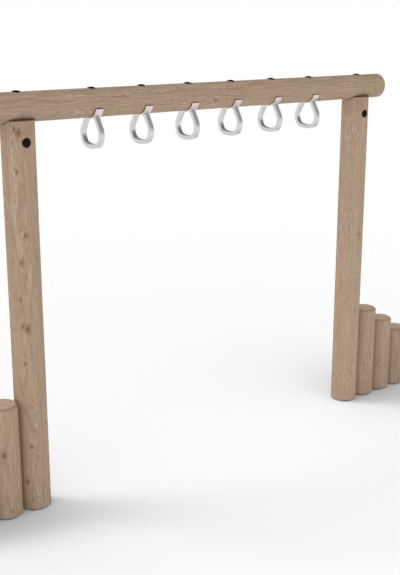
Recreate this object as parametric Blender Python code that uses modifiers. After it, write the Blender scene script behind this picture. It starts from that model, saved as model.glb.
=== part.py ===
"""Hand-ring frame of round timber, in metres, with +Z up and the beam along X.

A round beam lies in the coped tops of two posts. Six steel hand rings are bolted under the beam,
and three logs step down beside each post. The origin is on the ground, midway between the posts,
and the covers of the posts' cross nuts face -Y, which is the front.
"""

from math import cos, pi, radians, sin

import bmesh
import bpy
from mathutils import Matrix

# Least gap that pieces fitted to each other keep
FIT_GAP = 0.0003

# Posts
POST_DIAMETER = 0.160
POST_SPACING = 2.300
POST_FOOT_CHAMFER = 0.010
POST_TOP_CHAMFER = 0.002

# Beam
BEAM_DIAMETER = 0.140
BEAM_PAST_POST_AXIS = 0.202
BEAM_END_CHAMFER = 0.016
BEAM_AXIS_HEIGHT = 1.990
BEAM_SINKS_INTO_POST = 0.013

# Step logs
STEP_LOG_COUNT = 3
STEP_LOG_DIAMETER = 0.160
STEP_LOG_CHAMFER = 0.012
TALLEST_STEP_HEIGHT = 0.585
STEP_FALL = 0.096

# Hand rings: a nearly square bar bent to a drop shape, welded to a strap that hugs the beam
RING_COUNT = 6
RING_PITCH = 0.2965
RING_DROP = 0.150
RING_BAR_THICKNESS = 0.022
RING_BAR_WIDTH = 0.025
RING_BAR_EDGE = 0.002
RING_BOTTOM_RADIUS = 0.180
RING_BOTTOM_HALF_ANGLE = radians(12.5)
RING_CORNER_RADIUS = 0.048
RING_CORNER_ANGLE = radians(44)
RING_SHOULDER_RADIUS = 0.060
RING_LIMB_ANGLE = radians(30.5)
STRAP_WIDTH = 0.044
STRAP_THICKNESS = 0.006
STRAP_HALF_ANGLE = radians(69)
BOSS_WALL = 0.005
BOSS_HEIGHT = 0.030

# Bolts, washers and cross nuts: heads and washers keep their usual proportions to the thread
BOLT_DIAMETER = 0.012
HEAD_WIDTH_TO_THREAD = 1.5
HEAD_HEIGHT_TO_THREAD = 0.625
WASHER_WIDTH_TO_THREAD = 2
BOLT_TIP_CHAMFER = 0.0012
WASHER_THICKNESS = 0.0025
CROSS_NUT_WALL = 0.006
CROSS_NUT_LENGTH = 0.048
CROSS_NUT_CHAMFER = 0.0015
CROSS_NUT_BELOW_BEAM = 0.085
BOLT_PAST_CROSS_NUT = 0.008

# Two-part bolt covers on the beam: a cup that the bolt clamps down, and a lid that snaps into it
COVER_OVERHANG = 0.006
COVER_STANDS_PROUD = 0.006
COVER_SEAT_DEPTH = 0.004
COVER_RIM_HEIGHT = 0.0015
CUP_WALL = 0.002
CUP_FLOOR = 0.0025
CUP_ROOM_ROUND_WASHER = 0.001
CUP_ROOM_OVER_HEAD = 0.0017
LID_SPIGOT_DEPTH = 0.004

# Plugs that close the pockets in posts and outermost logs
PLUG_STANDS_PROUD = 0.0065
PLUG_SEAT_DEPTH = 0.0035
PLUG_SPIGOT_DEPTH = 0.012

# Coach screws that hold each log to its neighbour
SCREW_DIAMETER = 0.010
SCREW_LENGTH = 0.150
SCREW_TIP_LENGTH = 0.012
SCREW_HEAD_HEIGHT = 0.007
SCREW_FLANGE_OVERHANG = 0.007
SCREW_FLANGE_THICKNESS = 0.002
SCREW_POCKET_ROOM = 0.002
SCREW_POCKET_DEPTH = 0.060
SCREW_HEIGHTS = (0.300, 0.180)

# Facets around the turned pieces and their holes, and the turn at each point of a bent bar
TIMBER_SIDES = 36
COVER_SIDES = 16
HARDWARE_SIDES = 12
HOLE_SIDES = 12
DOME_STEPS = 3
BEND_STEP = radians(12)
STRAP_STEP = radians(9)

# How far a cutter runs on past the surface that it opens
CUTTER_OVERRUN = 0.020

# Points closer together than this are welded into one, and a bend sharper than this is an edge
WELD_DISTANCE = 0.00001
SHARP_ANGLE = radians(30)


def around(radius, sides):
    """Radius of a faceted hole whose flats clear a round piece by the fit gap."""
    return (radius + FIT_GAP) / cos(pi / sides)


# Sizes worked out from the ones above
POST_RADIUS = POST_DIAMETER / 2
BEAM_RADIUS = BEAM_DIAMETER / 2
STEP_LOG_RADIUS = STEP_LOG_DIAMETER / 2
BEAM_LENGTH = POST_SPACING + 2 * BEAM_PAST_POST_AXIS
POST_HEIGHT = BEAM_AXIS_HEIGHT - BEAM_RADIUS + BEAM_SINKS_INTO_POST
POST_CENTRES = (-POST_SPACING / 2, POST_SPACING / 2)
RING_CENTRES = [(index - (RING_COUNT - 1) / 2) * RING_PITCH for index in range(RING_COUNT)]
BOLT_HEAD_ACROSS_FLATS = BOLT_DIAMETER * HEAD_WIDTH_TO_THREAD
BOLT_HEAD_HEIGHT = BOLT_DIAMETER * HEAD_HEIGHT_TO_THREAD
WASHER_DIAMETER = BOLT_DIAMETER * WASHER_WIDTH_TO_THREAD
BOSS_DIAMETER = BOLT_DIAMETER + 2 * BOSS_WALL
CROSS_NUT_DIAMETER = BOLT_DIAMETER + 2 * CROSS_NUT_WALL
CUP_DIAMETER = WASHER_DIAMETER + 2 * (CUP_ROOM_ROUND_WASHER + CUP_WALL)
COVER_DIAMETER = CUP_DIAMETER + 2 * COVER_OVERHANG
SCREW_HEAD_ACROSS_FLATS = SCREW_DIAMETER * HEAD_WIDTH_TO_THREAD
SCREW_FLANGE_DIAMETER = SCREW_DIAMETER + 2 * SCREW_FLANGE_OVERHANG
SCREW_POCKET_DIAMETER = SCREW_FLANGE_DIAMETER + 2 * SCREW_POCKET_ROOM
BORE_RADIUS = around(BOLT_DIAMETER / 2, HOLE_SIDES)
COVER_SEAT_RADIUS = around(COVER_DIAMETER / 2, HOLE_SIDES)
STRAP_INNER_RADIUS = (BEAM_RADIUS + FIT_GAP) / cos(STRAP_STEP / 2)
STRAP_OUTER_RADIUS = STRAP_INNER_RADIUS + STRAP_THICKNESS
COVER_SEAT = BEAM_RADIUS - COVER_SEAT_DEPTH
BOLT_HEAD_SEAT = COVER_SEAT + FIT_GAP - LID_SPIGOT_DEPTH - CUP_ROOM_OVER_HEAD - BOLT_HEAD_HEIGHT
WASHER_SEAT = BOLT_HEAD_SEAT - FIT_GAP - WASHER_THICKNESS
CUP_FLOOR_TOP = WASHER_SEAT - FIT_GAP
CUP_POCKET_FLOOR = CUP_FLOOR_TOP - CUP_FLOOR - FIT_GAP
CROSS_NUT_BELOW_AXIS = BEAM_RADIUS + CROSS_NUT_BELOW_BEAM
CROSS_NUT_HEIGHT = BEAM_AXIS_HEIGHT - CROSS_NUT_BELOW_AXIS
CROSS_NUT_POCKET_DEPTH = POST_RADIUS + CROSS_NUT_LENGTH / 2 + FIT_GAP

# Colours, as in the photograph: greyed pine, blasted steel, zinc and black nylon
TIMBER_LOOK = ("greyed_timber", (0.39, 0.28, 0.20), 0.75, 0.0)
STEEL_LOOK = ("blasted_steel", (0.62, 0.62, 0.63), 0.42, 1.0)
ZINC_LOOK = ("zinc_plate", (0.55, 0.56, 0.58), 0.35, 1.0)
NYLON_LOOK = ("black_nylon", (0.015, 0.014, 0.013), 0.45, 0.0)


def cleared_scene():
    """Collections for the pieces and for the cutters, in an emptied scene."""
    for item in list(bpy.data.objects):
        bpy.data.objects.remove(item, do_unlink=True)
    made = []
    for name in ("hand_ring_frame", "cutters"):
        collection = bpy.data.collections.new(name)
        bpy.context.scene.collection.children.link(collection)
        made.append(collection)
    return made


PIECES, CUTTERS = cleared_scene()


def material_of(look):
    """The Principled material of a look, made the first time it is asked for."""
    name, colour, roughness, metallic = look
    material = bpy.data.materials.get(name)
    if material is None:
        material = bpy.data.materials.new(name)
        material.use_nodes = True
        shader = material.node_tree.nodes["Principled BSDF"]
        shader.inputs["Base Color"].default_value = (*colour, 1)
        shader.inputs["Roughness"].default_value = roughness
        shader.inputs["Metallic"].default_value = metallic
    return material


def blank(name, data):
    """A hidden working object that cuts, or is joined to, a piece."""
    shape = bpy.data.objects.new(name, data)
    shape.hide_render = True
    shape.display_type = "WIRE"
    CUTTERS.objects.link(shape)
    return shape


def turned(name, profile, sides, ring=False):
    """A solid turned about local Z from (radius, height) points that run down its outer side."""
    form = bmesh.new()
    corners = [form.verts.new((radius, 0, height)) for radius, height in profile]
    for start, end in zip(corners, corners[1:]):
        form.edges.new((start, end))
    if ring:
        form.edges.new((corners[-1], corners[0]))
    mesh = bpy.data.meshes.new(name)
    form.to_mesh(mesh)
    form.free()
    shape = blank(name, mesh)
    screw = shape.modifiers.new("turned", "SCREW")
    screw.steps = sides
    screw.render_steps = sides
    screw.use_merge_vertices = True
    screw.merge_threshold = WELD_DISTANCE
    return shape


def drill(name, radius, start, end):
    """A plain round cutter along local Z."""
    return turned(name, [(0, end), (radius, end), (radius, start), (0, start)], HOLE_SIDES)


def plate(name, outline, width, edge=0.0):
    """A closed outline in the YZ plane, given width along X and chamfered edges."""
    curve = bpy.data.curves.new(name, "CURVE")
    curve.dimensions = "2D"
    curve.fill_mode = "BOTH"
    curve.extrude = width / 2 - edge
    curve.bevel_depth = edge
    curve.bevel_resolution = 0
    curve.offset = -edge
    spline = curve.splines.new("POLY")
    spline.points.add(len(outline) - 1)
    for point, (y, z) in zip(spline.points, outline):
        point.co = (y, z, 0, 1)
    spline.use_cyclic_u = True
    drawn = blank(name + "_outline", curve)
    bpy.context.view_layer.update()
    graph = bpy.context.evaluated_depsgraph_get()
    mesh = bpy.data.meshes.new_from_object(drawn.evaluated_get(graph))
    bpy.data.objects.remove(drawn)
    form = bmesh.new()
    form.from_mesh(mesh)
    bmesh.ops.remove_doubles(form, verts=form.verts, dist=WELD_DISTANCE)
    bmesh.ops.recalc_face_normals(form, faces=form.faces)
    form.to_mesh(mesh)
    form.free()
    mesh.transform(Matrix(((0, 0, 1, 0), (1, 0, 0, 0), (0, 1, 0, 0), (0, 0, 0, 1))))
    return blank(name, mesh)


def combine(shape, other, operation):
    """A Boolean of two working objects, kept as a modifier on the first."""
    boolean = shape.modifiers.new(other.name, "BOOLEAN")
    boolean.operation = operation
    boolean.object = other
    return shape


def settled(shape, look):
    """The mesh that a working object ends up with, in its own frame, shaded smooth between its edges."""
    bpy.context.view_layer.update()
    graph = bpy.context.evaluated_depsgraph_get()
    mesh = bpy.data.meshes.new_from_object(shape.evaluated_get(graph))
    mesh.name = shape.name
    mesh.materials.clear()
    mesh.materials.append(material_of(look))
    mesh.shade_smooth()
    mesh.set_sharp_from_angle(angle=SHARP_ANGLE)
    return mesh


def piece(name, mesh, location=(0, 0, 0), rotation=(0, 0, 0)):
    """One named piece of the frame."""
    made = bpy.data.objects.new(name, mesh)
    made.location = location
    made.rotation_euler = rotation
    PIECES.objects.link(made)
    return made


def chamfered_bar(radius, bottom, top, bottom_chamfer, top_chamfer):
    """The turned profile of a round bar whose two ends are chamfered."""
    return [
        (0, top),
        (radius - top_chamfer, top),
        (radius, top - top_chamfer),
        (radius, bottom + bottom_chamfer),
        (radius - bottom_chamfer, bottom),
        (0, bottom),
    ]


def hex_head(name, across_flats, bottom, height):
    """A hexagonal bolt head along local Z, standing on the height given."""
    form = bmesh.new()
    corner_radius = across_flats / 2 / cos(pi / 6)
    bmesh.ops.create_cone(
        form, cap_ends=True, segments=6, radius1=corner_radius, radius2=corner_radius, depth=height
    )
    bmesh.ops.translate(form, verts=form.verts, vec=(0, 0, bottom + height / 2))
    mesh = bpy.data.meshes.new(name)
    form.to_mesh(mesh)
    form.free()
    return blank(name, mesh)


def beam_station(name, centre, has_boss):
    """The stepped hole through the beam: cover seat, cup pocket, bolt bore and a ring's boss pocket."""
    cup_radius = around(CUP_DIAMETER / 2, HOLE_SIDES)
    profile = [
        (0, BEAM_RADIUS + CUTTER_OVERRUN),
        (COVER_SEAT_RADIUS, BEAM_RADIUS + CUTTER_OVERRUN),
        (COVER_SEAT_RADIUS, COVER_SEAT),
        (cup_radius, COVER_SEAT),
        (cup_radius, CUP_POCKET_FLOOR),
        (BORE_RADIUS, CUP_POCKET_FLOOR),
    ]
    if has_boss:
        boss_radius = around(BOSS_DIAMETER / 2, HOLE_SIDES)
        boss_pocket = -BEAM_RADIUS + BOSS_HEIGHT + FIT_GAP
        profile += [(BORE_RADIUS, boss_pocket), (boss_radius, boss_pocket)]
    widest = profile[-1][0]
    profile += [(widest, -BEAM_RADIUS - CUTTER_OVERRUN), (0, -BEAM_RADIUS - CUTTER_OVERRUN)]
    cutter = turned(name, profile, HOLE_SIDES)
    cutter.location = (centre, 0, BEAM_AXIS_HEIGHT)
    return cutter


def make_beam():
    """The beam: turned, chamfered at both ends, and bored once over each post and each ring."""
    profile = chamfered_bar(
        BEAM_RADIUS, -BEAM_LENGTH / 2, BEAM_LENGTH / 2, BEAM_END_CHAMFER, BEAM_END_CHAMFER
    )
    bar = turned("beam_bar", profile, TIMBER_SIDES)
    bar.location = (0, 0, BEAM_AXIS_HEIGHT)
    bar.rotation_euler = (0, radians(90), 0)
    for index, centre in enumerate(POST_CENTRES):
        combine(bar, beam_station(f"beam_over_post_{index + 1}", centre, False), "DIFFERENCE")
    for index, centre in enumerate(RING_CENTRES):
        combine(bar, beam_station(f"beam_over_ring_{index + 1}", centre, True), "DIFFERENCE")
    piece("beam", settled(bar, TIMBER_LOOK), bar.location, bar.rotation_euler)


def beam_seat(name, radius):
    """A cutter in the place of the beam, for what is shaped to hug it."""
    ends = BEAM_LENGTH / 2 + CUTTER_OVERRUN
    cutter = turned(name, [(0, ends), (radius, ends), (radius, -ends), (0, -ends)], TIMBER_SIDES)
    cutter.rotation_euler = (0, radians(90), 0)
    return cutter


def pocket_profile(radius, depth, surface_radius, has_plug):
    """Profile of a pocket bored along -Z into a round timber, with a seat for a plug if it has one."""
    mouth = surface_radius + CUTTER_OVERRUN
    seat = surface_radius - PLUG_SEAT_DEPTH
    profile = [(0, mouth)]
    if has_plug:
        profile += [(COVER_SEAT_RADIUS, mouth), (COVER_SEAT_RADIUS, seat), (radius, seat)]
    else:
        profile += [(radius, mouth)]
    profile += [(radius, surface_radius - depth)]
    return profile


def make_posts(first_screws):
    """The posts: coped for the beam, bored for the bolt, its cross nut and the first log's screw."""
    seat = beam_seat("beam_seat_in_posts", BEAM_RADIUS + FIT_GAP)
    seat.location = (0, 0, BEAM_AXIS_HEIGHT)
    nut_radius = around(CROSS_NUT_DIAMETER / 2, HOLE_SIDES)
    nut_hole = pocket_profile(nut_radius, CROSS_NUT_POCKET_DEPTH, POST_RADIUS, True)
    nut_hole.append((0, POST_RADIUS - CROSS_NUT_POCKET_DEPTH))
    bore_end = CROSS_NUT_HEIGHT - CROSS_NUT_DIAMETER / 2 - BOLT_PAST_CROSS_NUT - FIT_GAP
    for side, centre, screw in zip(("left", "right"), POST_CENTRES, first_screws):
        profile = chamfered_bar(POST_RADIUS, 0, POST_HEIGHT, POST_FOOT_CHAMFER, POST_TOP_CHAMFER)
        bar = turned(f"post_{side}_bar", profile, TIMBER_SIDES)
        bar.location = (centre, 0, 0)
        combine(bar, seat, "DIFFERENCE")
        bore = drill(f"post_{side}_bore", BORE_RADIUS, bore_end, BEAM_AXIS_HEIGHT)
        bore.location = (centre, 0, 0)
        combine(bar, bore, "DIFFERENCE")
        pocket = turned(f"post_{side}_pocket", nut_hole, HOLE_SIDES)
        pocket.location = (centre, 0, CROSS_NUT_HEIGHT)
        pocket.rotation_euler = (radians(90), 0, 0)
        combine(bar, pocket, "DIFFERENCE")
        combine(bar, screw, "DIFFERENCE")
        piece(f"post_{side}", settled(bar, TIMBER_LOOK), bar.location)


def step_log_centre(index):
    """Distance from a post's axis to the axis of the log of that index, 0 beside the post."""
    first = POST_RADIUS + FIT_GAP + STEP_LOG_RADIUS
    return first + index * (STEP_LOG_DIAMETER + FIT_GAP)


def step_log_height(index):
    """Height of the log of that index."""
    return TALLEST_STEP_HEIGHT - index * STEP_FALL


def screw_height(index):
    """Height of a log's screw; neighbours' screws take turns, so that none meets the next one's pocket."""
    return SCREW_HEIGHTS[index % len(SCREW_HEIGHTS)]


def outward(direction):
    """Rotation that turns local +Z to point away from the frame's middle along X."""
    return (0, radians(90) * direction, 0)


def screw_hole(side, index, centre, direction):
    """The stepped hole for one coach screw, through its log and into the neighbour."""
    is_outermost = index == STEP_LOG_COUNT - 1
    pocket = SCREW_POCKET_DIAMETER / 2
    profile = pocket_profile(pocket, SCREW_POCKET_DEPTH, STEP_LOG_RADIUS, is_outermost)
    seat = STEP_LOG_RADIUS - SCREW_POCKET_DEPTH
    bore = around(SCREW_DIAMETER / 2, HOLE_SIDES)
    hole_end = seat - SCREW_LENGTH - FIT_GAP
    profile += [(bore, seat), (bore, hole_end), (0, hole_end)]
    cutter = turned(f"screw_hole_{side}_{index + 1}", profile, HOLE_SIDES)
    cutter.location = (centre, 0, screw_height(index))
    cutter.rotation_euler = outward(direction)
    return cutter


def make_step_logs():
    """The logs beside both posts; returns the screw hole that runs into each post."""
    into_posts = []
    for side, post_centre, direction in zip(("left", "right"), POST_CENTRES, (-1, 1)):
        centres = [
            post_centre + direction * step_log_centre(index) for index in range(STEP_LOG_COUNT)
        ]
        holes = [
            screw_hole(side, index, centre, direction) for index, centre in enumerate(centres)
        ]
        into_posts.append(holes[0])
        for index, centre in enumerate(centres):
            height = step_log_height(index)
            profile = chamfered_bar(
                STEP_LOG_RADIUS, 0, height, STEP_LOG_CHAMFER, STEP_LOG_CHAMFER
            )
            bar = turned(f"step_log_{side}_{index + 1}_bar", profile, TIMBER_SIDES)
            bar.location = (centre, 0, 0)
            for hole in holes[index : index + 2]:
                combine(bar, hole, "DIFFERENCE")
            piece(f"step_log_{side}_{index + 1}", settled(bar, TIMBER_LOOK), bar.location)
    return into_posts


def bar_centreline():
    """Half of the bent bar's centreline, from the bottom to the strap, as (y, z, heading).

    Heights are from the beam's axis. The bar turns through a flat bottom, a tight corner and a
    wider shoulder, and then runs straight until it is inside the beam, where the strap cuts it.
    """
    y = 0.0
    z = -BEAM_RADIUS - RING_DROP + RING_BAR_THICKNESS / 2
    heading = 0.0
    whole_turn = radians(90) + RING_LIMB_ANGLE
    shoulder_angle = whole_turn - RING_BOTTOM_HALF_ANGLE - RING_CORNER_ANGLE
    points = [(y, z, heading)]
    for radius, angle in (
        (RING_BOTTOM_RADIUS, RING_BOTTOM_HALF_ANGLE),
        (RING_CORNER_RADIUS, RING_CORNER_ANGLE),
        (RING_SHOULDER_RADIUS, shoulder_angle),
    ):
        steps = max(1, round(angle / BEND_STEP))
        for _ in range(steps):
            turned_to = heading + angle / steps
            y += radius * (sin(turned_to) - sin(heading))
            z += radius * (cos(heading) - cos(turned_to))
            heading = turned_to
            points.append((y, z, heading))
    limb_end_height = -BEAM_RADIUS * cos(STRAP_HALF_ANGLE)
    run = (limb_end_height - z) / sin(heading)
    points.append((y + run * cos(heading), limb_end_height, heading))
    return points


def bar_outline():
    """The bent bar seen along the beam: its outer side, then its inner side back again."""
    half = bar_centreline()
    mirrored = [(-y, z, -heading) for y, z, heading in reversed(half[1:])]
    line = mirrored + half
    offset = RING_BAR_THICKNESS / 2
    outer = [(y + offset * sin(heading), z - offset * cos(heading)) for y, z, heading in line]
    inner = [(y - offset * sin(heading), z + offset * cos(heading)) for y, z, heading in line]
    return outer + inner[::-1]


def strap_outline():
    """The strap seen along the beam: an arc of flat bar under the beam."""
    steps = round(2 * STRAP_HALF_ANGLE / STRAP_STEP)
    angles = [STRAP_HALF_ANGLE * (2 * step / steps - 1) for step in range(steps + 1)]
    outer = [(STRAP_OUTER_RADIUS * sin(angle), -STRAP_OUTER_RADIUS * cos(angle)) for angle in angles]
    inner = [(STRAP_INNER_RADIUS * sin(angle), -STRAP_INNER_RADIUS * cos(angle)) for angle in angles]
    return outer + inner[::-1]


def ring_mesh():
    """One hand ring about the beam's axis: bar and strap welded together, with a bored boss on top."""
    bar = plate("ring_bar", bar_outline(), RING_BAR_WIDTH, RING_BAR_EDGE)
    combine(bar, beam_seat("beam_seat_in_ring", STRAP_INNER_RADIUS + STRAP_THICKNESS / 2), "DIFFERENCE")
    strap = plate("ring_strap", strap_outline(), STRAP_WIDTH)
    combine(bar, strap, "UNION")
    boss_top = -BEAM_RADIUS + BOSS_HEIGHT
    boss_foot = -STRAP_OUTER_RADIUS + STRAP_THICKNESS / 2
    combine(bar, drill("ring_boss", BOSS_DIAMETER / 2, boss_foot, boss_top), "UNION")
    bore = drill("ring_boss_bore", BORE_RADIUS, -STRAP_OUTER_RADIUS - CUTTER_OVERRUN, 0)
    combine(bar, bore, "DIFFERENCE")
    return settled(bar, STEEL_LOOK)


def bolt_mesh(name, tip):
    """A hexagon bolt from its seat in a cover's cup down to the tip, about the beam's axis."""
    radius = BOLT_DIAMETER / 2
    head_middle = BOLT_HEAD_SEAT + BOLT_HEAD_HEIGHT / 2
    profile = [
        (0, head_middle),
        (radius, head_middle),
        (radius, tip + BOLT_TIP_CHAMFER),
        (radius - BOLT_TIP_CHAMFER, tip),
        (0, tip),
    ]
    shank = turned(name, profile, HARDWARE_SIDES)
    head = hex_head(name + "_head", BOLT_HEAD_ACROSS_FLATS, BOLT_HEAD_SEAT, BOLT_HEAD_HEIGHT)
    return settled(combine(shank, head, "UNION"), ZINC_LOOK)


def washer_mesh():
    """A flat washer on the floor of a cover's cup, about the beam's axis."""
    outer = WASHER_DIAMETER / 2
    top = WASHER_SEAT + WASHER_THICKNESS
    profile = [
        (BORE_RADIUS, top),
        (outer, top),
        (outer, WASHER_SEAT),
        (BORE_RADIUS, WASHER_SEAT),
    ]
    return settled(turned("washer", profile, HARDWARE_SIDES, ring=True), ZINC_LOOK)


def cover_cup_mesh():
    """The lower half of a bolt cover: a cup sunk in the beam, which holds the bolt's head."""
    outer = CUP_DIAMETER / 2
    inner = outer - CUP_WALL
    bottom = CUP_POCKET_FLOOR + FIT_GAP
    profile = [
        (inner, COVER_SEAT),
        (outer, COVER_SEAT),
        (outer, bottom),
        (BORE_RADIUS, bottom),
        (BORE_RADIUS, CUP_FLOOR_TOP),
        (inner, CUP_FLOOR_TOP),
    ]
    return settled(turned("cover_cup", profile, HARDWARE_SIDES, ring=True), NYLON_LOOK)


def dome(radius, rim, crown):
    """Profile points of a flattened dome, from its crown down to its rim."""
    turns = [radians(90) * step / DOME_STEPS for step in range(DOME_STEPS + 1)]
    return [(radius * sin(turn), rim + (crown - rim) * cos(turn)) for turn in turns]


def capped(name, base, crown, spigot, spigot_end):
    """A domed cover along local Z: its flange lies on the base height and its spigot goes down inside."""
    profile = dome(COVER_DIAMETER / 2, base + COVER_RIM_HEIGHT, crown)
    profile += [
        (COVER_DIAMETER / 2, base),
        (spigot, base),
        (spigot, spigot_end),
        (0, spigot_end),
    ]
    return settled(turned(name, profile, COVER_SIDES), NYLON_LOOK)


def cover_lid_mesh():
    """The domed lid of a bolt cover, with a spigot that snaps into the cup above the bolt's head."""
    base = COVER_SEAT + FIT_GAP
    crown = BEAM_RADIUS + COVER_STANDS_PROUD
    cup_inside = (CUP_DIAMETER / 2 - CUP_WALL) * cos(pi / HARDWARE_SIDES)
    return capped("cover_lid", base, crown, cup_inside - FIT_GAP, base - LID_SPIGOT_DEPTH)


def plug_mesh(name, spigot, surface_radius):
    """A domed plug along local Z, pressed into a pocket in a timber of the radius given."""
    base = surface_radius - PLUG_SEAT_DEPTH + FIT_GAP
    crown = surface_radius + PLUG_STANDS_PROUD
    return capped(name, base, crown, spigot, surface_radius - PLUG_SPIGOT_DEPTH)


def cross_nut_mesh():
    """The cross nut that takes a post's bolt: a round bar with a cross bore, along local Z."""
    half = CROSS_NUT_LENGTH / 2
    profile = chamfered_bar(
        CROSS_NUT_DIAMETER / 2, -half, half, CROSS_NUT_CHAMFER, CROSS_NUT_CHAMFER
    )
    nut = turned("cross_nut", profile, HARDWARE_SIDES)
    bore = drill("cross_nut_bore", BORE_RADIUS, -CROSS_NUT_DIAMETER, CROSS_NUT_DIAMETER)
    bore.rotation_euler = (radians(90), 0, 0)
    return settled(combine(nut, bore, "DIFFERENCE"), ZINC_LOOK)


def coach_screw_mesh():
    """A coach screw with a flanged hexagon head, pointing down from its seat at local Z zero."""
    radius = SCREW_DIAMETER / 2
    flange = SCREW_FLANGE_DIAMETER / 2
    profile = [
        (0, SCREW_FLANGE_THICKNESS),
        (flange, SCREW_FLANGE_THICKNESS),
        (flange, FIT_GAP),
        (radius, FIT_GAP),
        (radius, SCREW_TIP_LENGTH - SCREW_LENGTH),
        (0, -SCREW_LENGTH),
    ]
    screw = turned("coach_screw", profile, HARDWARE_SIDES)
    head_foot = SCREW_FLANGE_THICKNESS / 2
    head = hex_head("coach_screw_head", SCREW_HEAD_ACROSS_FLATS, head_foot, SCREW_HEAD_HEIGHT)
    return settled(combine(screw, head, "UNION"), ZINC_LOOK)


def make_rings():
    """The hand rings, all alike, along the beam."""
    mesh = ring_mesh()
    for index, centre in enumerate(RING_CENTRES):
        piece(f"hand_ring_{index + 1}", mesh, (centre, 0, BEAM_AXIS_HEIGHT))


def make_beam_hardware():
    """A bolt, a washer and a two-part cover over each ring and each post."""
    ring_bolt = bolt_mesh("ring_bolt", -STRAP_OUTER_RADIUS + FIT_GAP)
    nut_underside = -CROSS_NUT_BELOW_AXIS - CROSS_NUT_DIAMETER / 2
    post_bolt = bolt_mesh("post_bolt", nut_underside - BOLT_PAST_CROSS_NUT)
    washer = washer_mesh()
    cup = cover_cup_mesh()
    lid = cover_lid_mesh()
    stations = [(f"ring_{index + 1}", centre, ring_bolt) for index, centre in enumerate(RING_CENTRES)]
    stations += [
        (f"post_{side}", centre, post_bolt) for side, centre in zip(("left", "right"), POST_CENTRES)
    ]
    for name, centre, bolt in stations:
        place = (centre, 0, BEAM_AXIS_HEIGHT)
        piece(f"{name}_bolt", bolt, place)
        piece(f"{name}_washer", washer, place)
        piece(f"{name}_cover_cup", cup, place)
        piece(f"{name}_cover_lid", lid, place)


def make_post_hardware():
    """A cross nut inside each post, and the plug over its pocket on the front."""
    nut = cross_nut_mesh()
    plug = plug_mesh("post_plug", CROSS_NUT_DIAMETER / 2, POST_RADIUS)
    for side, centre in zip(("left", "right"), POST_CENTRES):
        place = (centre, 0, CROSS_NUT_HEIGHT)
        piece(f"post_{side}_cross_nut", nut, place, (radians(90), 0, 0))
        piece(f"post_{side}_plug", plug, place, (radians(90), 0, 0))


def make_step_hardware():
    """A coach screw in every log, and a plug over the outermost log's pocket."""
    screw = coach_screw_mesh()
    spigot = SCREW_POCKET_DIAMETER / 2 * cos(pi / HOLE_SIDES) - FIT_GAP
    plug = plug_mesh("step_plug", spigot, STEP_LOG_RADIUS)
    seat = STEP_LOG_RADIUS - SCREW_POCKET_DEPTH
    for side, post_centre, direction in zip(("left", "right"), POST_CENTRES, (-1, 1)):
        for index in range(STEP_LOG_COUNT):
            centre = post_centre + direction * step_log_centre(index)
            place = (centre + direction * seat, 0, screw_height(index))
            piece(f"step_screw_{side}_{index + 1}", screw, place, outward(direction))
        place = (centre, 0, screw_height(STEP_LOG_COUNT - 1))
        piece(f"step_plug_{side}", plug, place, outward(direction))


make_beam()
make_posts(make_step_logs())
make_rings()
make_beam_hardware()
make_post_hardware()
make_step_hardware()
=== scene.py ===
from math import cos, hypot, pi, radians, sin, sqrt, tau
from random import Random

import bmesh
import bpy
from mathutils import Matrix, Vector, noise


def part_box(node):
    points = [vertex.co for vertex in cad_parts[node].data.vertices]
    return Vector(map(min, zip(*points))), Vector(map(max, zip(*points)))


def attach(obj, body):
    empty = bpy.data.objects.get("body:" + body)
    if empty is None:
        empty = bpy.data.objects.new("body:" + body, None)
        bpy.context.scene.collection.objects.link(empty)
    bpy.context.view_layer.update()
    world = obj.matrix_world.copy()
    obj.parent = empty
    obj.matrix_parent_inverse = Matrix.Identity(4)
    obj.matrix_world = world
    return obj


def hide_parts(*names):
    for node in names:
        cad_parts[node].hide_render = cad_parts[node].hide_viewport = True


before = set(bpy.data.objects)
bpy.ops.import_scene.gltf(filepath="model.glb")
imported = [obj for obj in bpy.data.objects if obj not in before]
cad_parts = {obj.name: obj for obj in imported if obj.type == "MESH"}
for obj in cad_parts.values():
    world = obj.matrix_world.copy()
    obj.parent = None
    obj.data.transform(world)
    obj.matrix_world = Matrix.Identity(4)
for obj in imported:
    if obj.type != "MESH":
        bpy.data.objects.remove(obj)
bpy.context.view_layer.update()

# The view
# The frame is seen from in front of its left post and from a little above its beam. Both rows of
# step logs run out of the picture.
EYE_PLACE = (-3.404, -4.027, 2.367)
EYE_LOOKS_DOWN = radians(15.14)
EYE_TURNS_RIGHT = radians(39.68)
EYE_LENS = 61.57
FAR_ENOUGH = 600.0

eye = bpy.data.objects.new("eye", bpy.data.cameras.new("eye"))
eye.location = EYE_PLACE
eye.rotation_euler = (pi / 2 - EYE_LOOKS_DOWN, 0, -EYE_TURNS_RIGHT)
eye.data.lens = EYE_LENS
eye.data.clip_end = FAR_ENOUGH
bpy.context.scene.collection.objects.link(eye)
bpy.context.scene.camera = eye
bpy.context.scene.view_settings.view_transform = "Standard"


# The studio floor
# A seamless floor that fades into the white room. Its paint is dark, and a sky of its own lights
# it to white, so that it keeps the frame's shadow and takes no colour from the timber.
FLOOR_BREADTH = 180.0
FLOOR_FADES_FROM = 2.4
FLOOR_IS_WHITE_FROM = 8.0
FLOOR_PAINT = 0.08


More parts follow.
